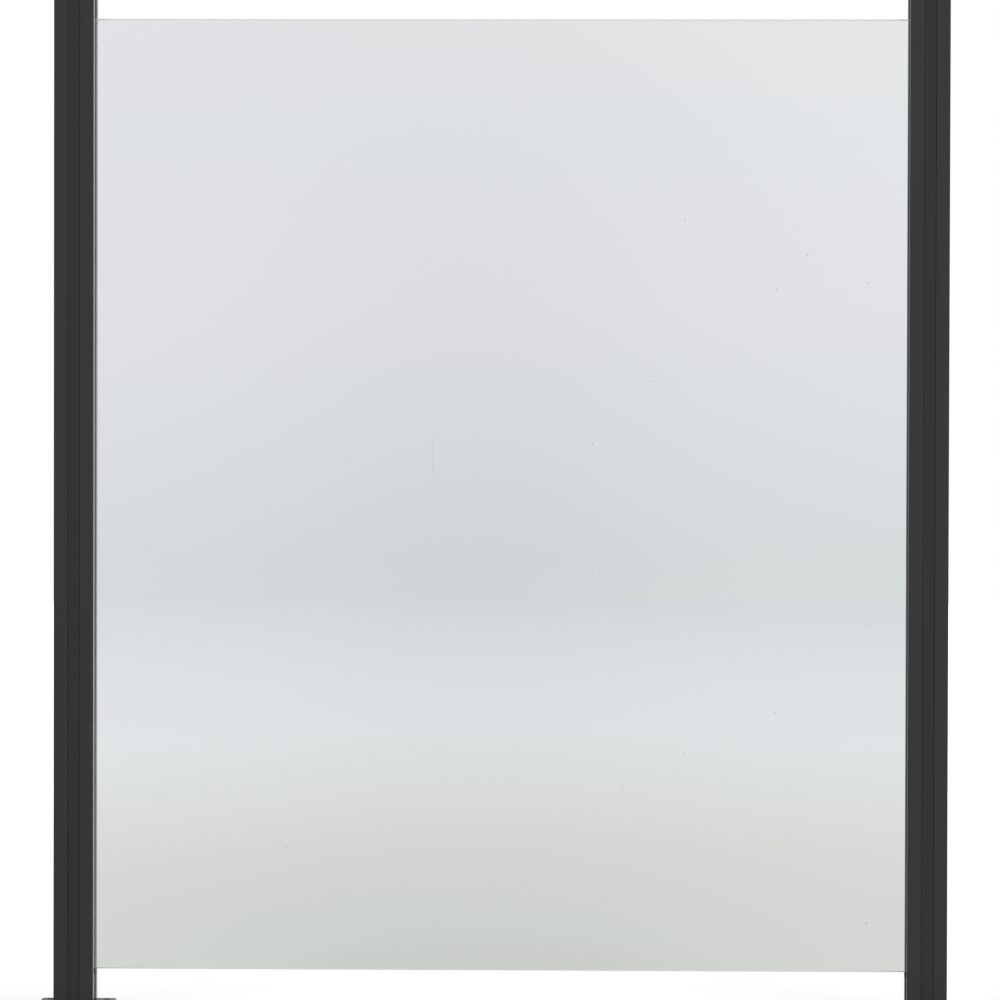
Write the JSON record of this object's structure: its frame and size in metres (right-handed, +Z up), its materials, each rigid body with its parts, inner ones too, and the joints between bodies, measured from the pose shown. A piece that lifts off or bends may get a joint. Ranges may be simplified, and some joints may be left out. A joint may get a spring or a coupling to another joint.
{
  "type": "framed glass fence panel",
  "caption": "Fence bay with a clear toughened glass pane held in grooved square metal posts that stand on bolted base plates.",
  "frame": {"origin": "centre of the left base plate's underside, on the ground", "axes": "+X along the fence from the left post to the right post, +Y to the rear, away from the viewer, +Z up"},
  "size_m": [1.17, 0.095, 1.3],
  "materials": {
    "clear_glass": "polished",
    "post_coating": "satin",
    "plate_coating": "satin",
    "strip_coating": "satin",
    "gasket_rubber": "matte",
    "block_rubber": "matte",
    "screw_steel": "zinc plated"
  },
  "bodies": {
    "root": {"glass_panel": "clear_glass", "left_post": "post_coating", "left_base_plate": "plate_coating", "left_post_cap": "post_coating", "left_front_strip": "strip_coating", "left_rear_strip": "strip_coating", "left_outer_strip": "strip_coating", "left_upper_strip": "strip_coating", "left_lower_strip": "strip_coating", "left_setting_block": "block_rubber", "left_front_gasket": "gasket_rubber", "left_rear_gasket": "gasket_rubber", "right_post": "post_coating", "right_base_plate": "plate_coating", "right_post_cap": "post_coating", "right_front_strip": "strip_coating", "right_rear_strip": "strip_coating", "right_outer_strip": "strip_coating", "right_upper_strip": "strip_coating", "right_lower_strip": "strip_coating", "right_setting_block": "block_rubber", "right_front_gasket": "gasket_rubber", "right_rear_gasket": "gasket_rubber"}
  },
  "joints": []
}
